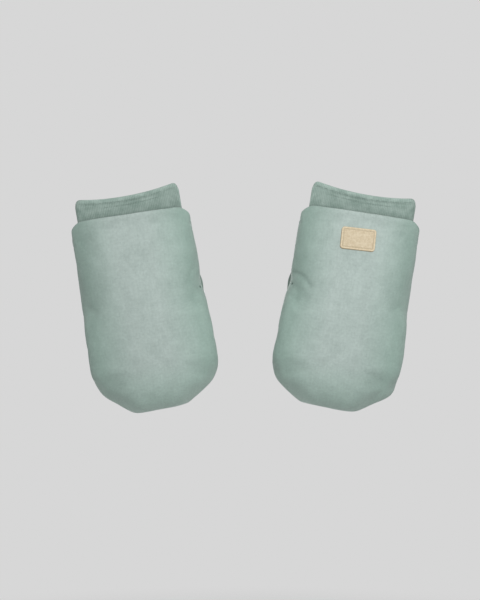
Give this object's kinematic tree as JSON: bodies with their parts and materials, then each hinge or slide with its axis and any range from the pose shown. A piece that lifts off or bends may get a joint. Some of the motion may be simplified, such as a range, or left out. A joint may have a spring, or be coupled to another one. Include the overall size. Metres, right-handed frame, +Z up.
{
  "type": "stroller hand muffs",
  "caption": "Pair of padded fabric hand muffs hung mouth up on a stroller handlebar, with snap-closed front flaps over side slots for the bar, ribbed lining and a bare leather patch.",
  "frame": {"origin": "on the handlebar's axis, midway between the two muffs", "axes": "+X along the handlebar towards the right muff, +Y away from the viewer towards the back panels, +Z up towards the mouths"},
  "size_m": [0.4204, 0.0763, 0.2813],
  "materials": {
    "sage_shell_cloth": "matte fine-woven sage green shell cloth",
    "sage_ribbed_lining": "soft ribbed sage green lining",
    "white_wadding": "soft white polyester wadding",
    "green_snap_plastic": "satin green snap plastic",
    "tan_leather": "matte light tan leather"
  },
  "bodies": {
    "left_muff": {"left_back_shell": "sage_shell_cloth", "left_back_wadding": "white_wadding", "left_back_lining": "sage_ribbed_lining", "left_pouch_shell": "sage_shell_cloth", "left_pouch_wadding": "white_wadding", "left_pouch_lining": "sage_ribbed_lining", "left_inner_snap_stud": "green_snap_plastic", "left_inner_snap_stud_cap": "green_snap_plastic", "left_outer_snap_stud": "green_snap_plastic", "left_outer_snap_stud_cap": "green_snap_plastic"},
    "left_flap": {"left_flap_shell": "sage_shell_cloth", "left_flap_wadding": "white_wadding", "left_flap_lining": "sage_ribbed_lining", "left_inner_snap_socket": "green_snap_plastic", "left_inner_snap_socket_cap": "green_snap_plastic", "left_outer_snap_socket": "green_snap_plastic", "left_outer_snap_socket_cap": "green_snap_plastic"},
    "right_muff": {"right_back_shell": "sage_shell_cloth", "right_back_wadding": "white_wadding", "right_back_lining": "sage_ribbed_lining", "right_pouch_shell": "sage_shell_cloth", "right_pouch_wadding": "white_wadding", "right_pouch_lining": "sage_ribbed_lining", "right_inner_snap_stud": "green_snap_plastic", "right_inner_snap_stud_cap": "green_snap_plastic", "right_outer_snap_stud": "green_snap_plastic", "right_outer_snap_stud_cap": "green_snap_plastic"},
    "right_flap": {"right_flap_shell": "sage_shell_cloth", "right_flap_wadding": "white_wadding", "right_flap_lining": "sage_ribbed_lining", "right_inner_snap_socket": "green_snap_plastic", "right_inner_snap_socket_cap": "green_snap_plastic", "right_outer_snap_socket": "green_snap_plastic", "right_outer_snap_socket_cap": "green_snap_plastic", "right_leather_patch": "tan_leather"}
  },
  "joints": [
    {"name": "left_flap_hinge", "type": "hinge", "parent": "left_muff", "child": "left_flap", "pos_m": [-0.1122, -0.0514, -0.0173], "axis": [0.989, 0, 0.1478], "range_deg": [0, 50]},
    {"name": "right_muff_slide", "type": "slide", "parent": "left_muff", "child": "right_muff", "axis": [1, 0, 0], "range_m": [-0.05, 0.02]},
    {"name": "right_flap_hinge", "type": "hinge", "parent": "right_muff", "child": "right_flap", "pos_m": [0.1122, -0.0514, -0.0155], "axis": [0.989, 0, -0.1478], "range_deg": [0, 50]}
  ]
}
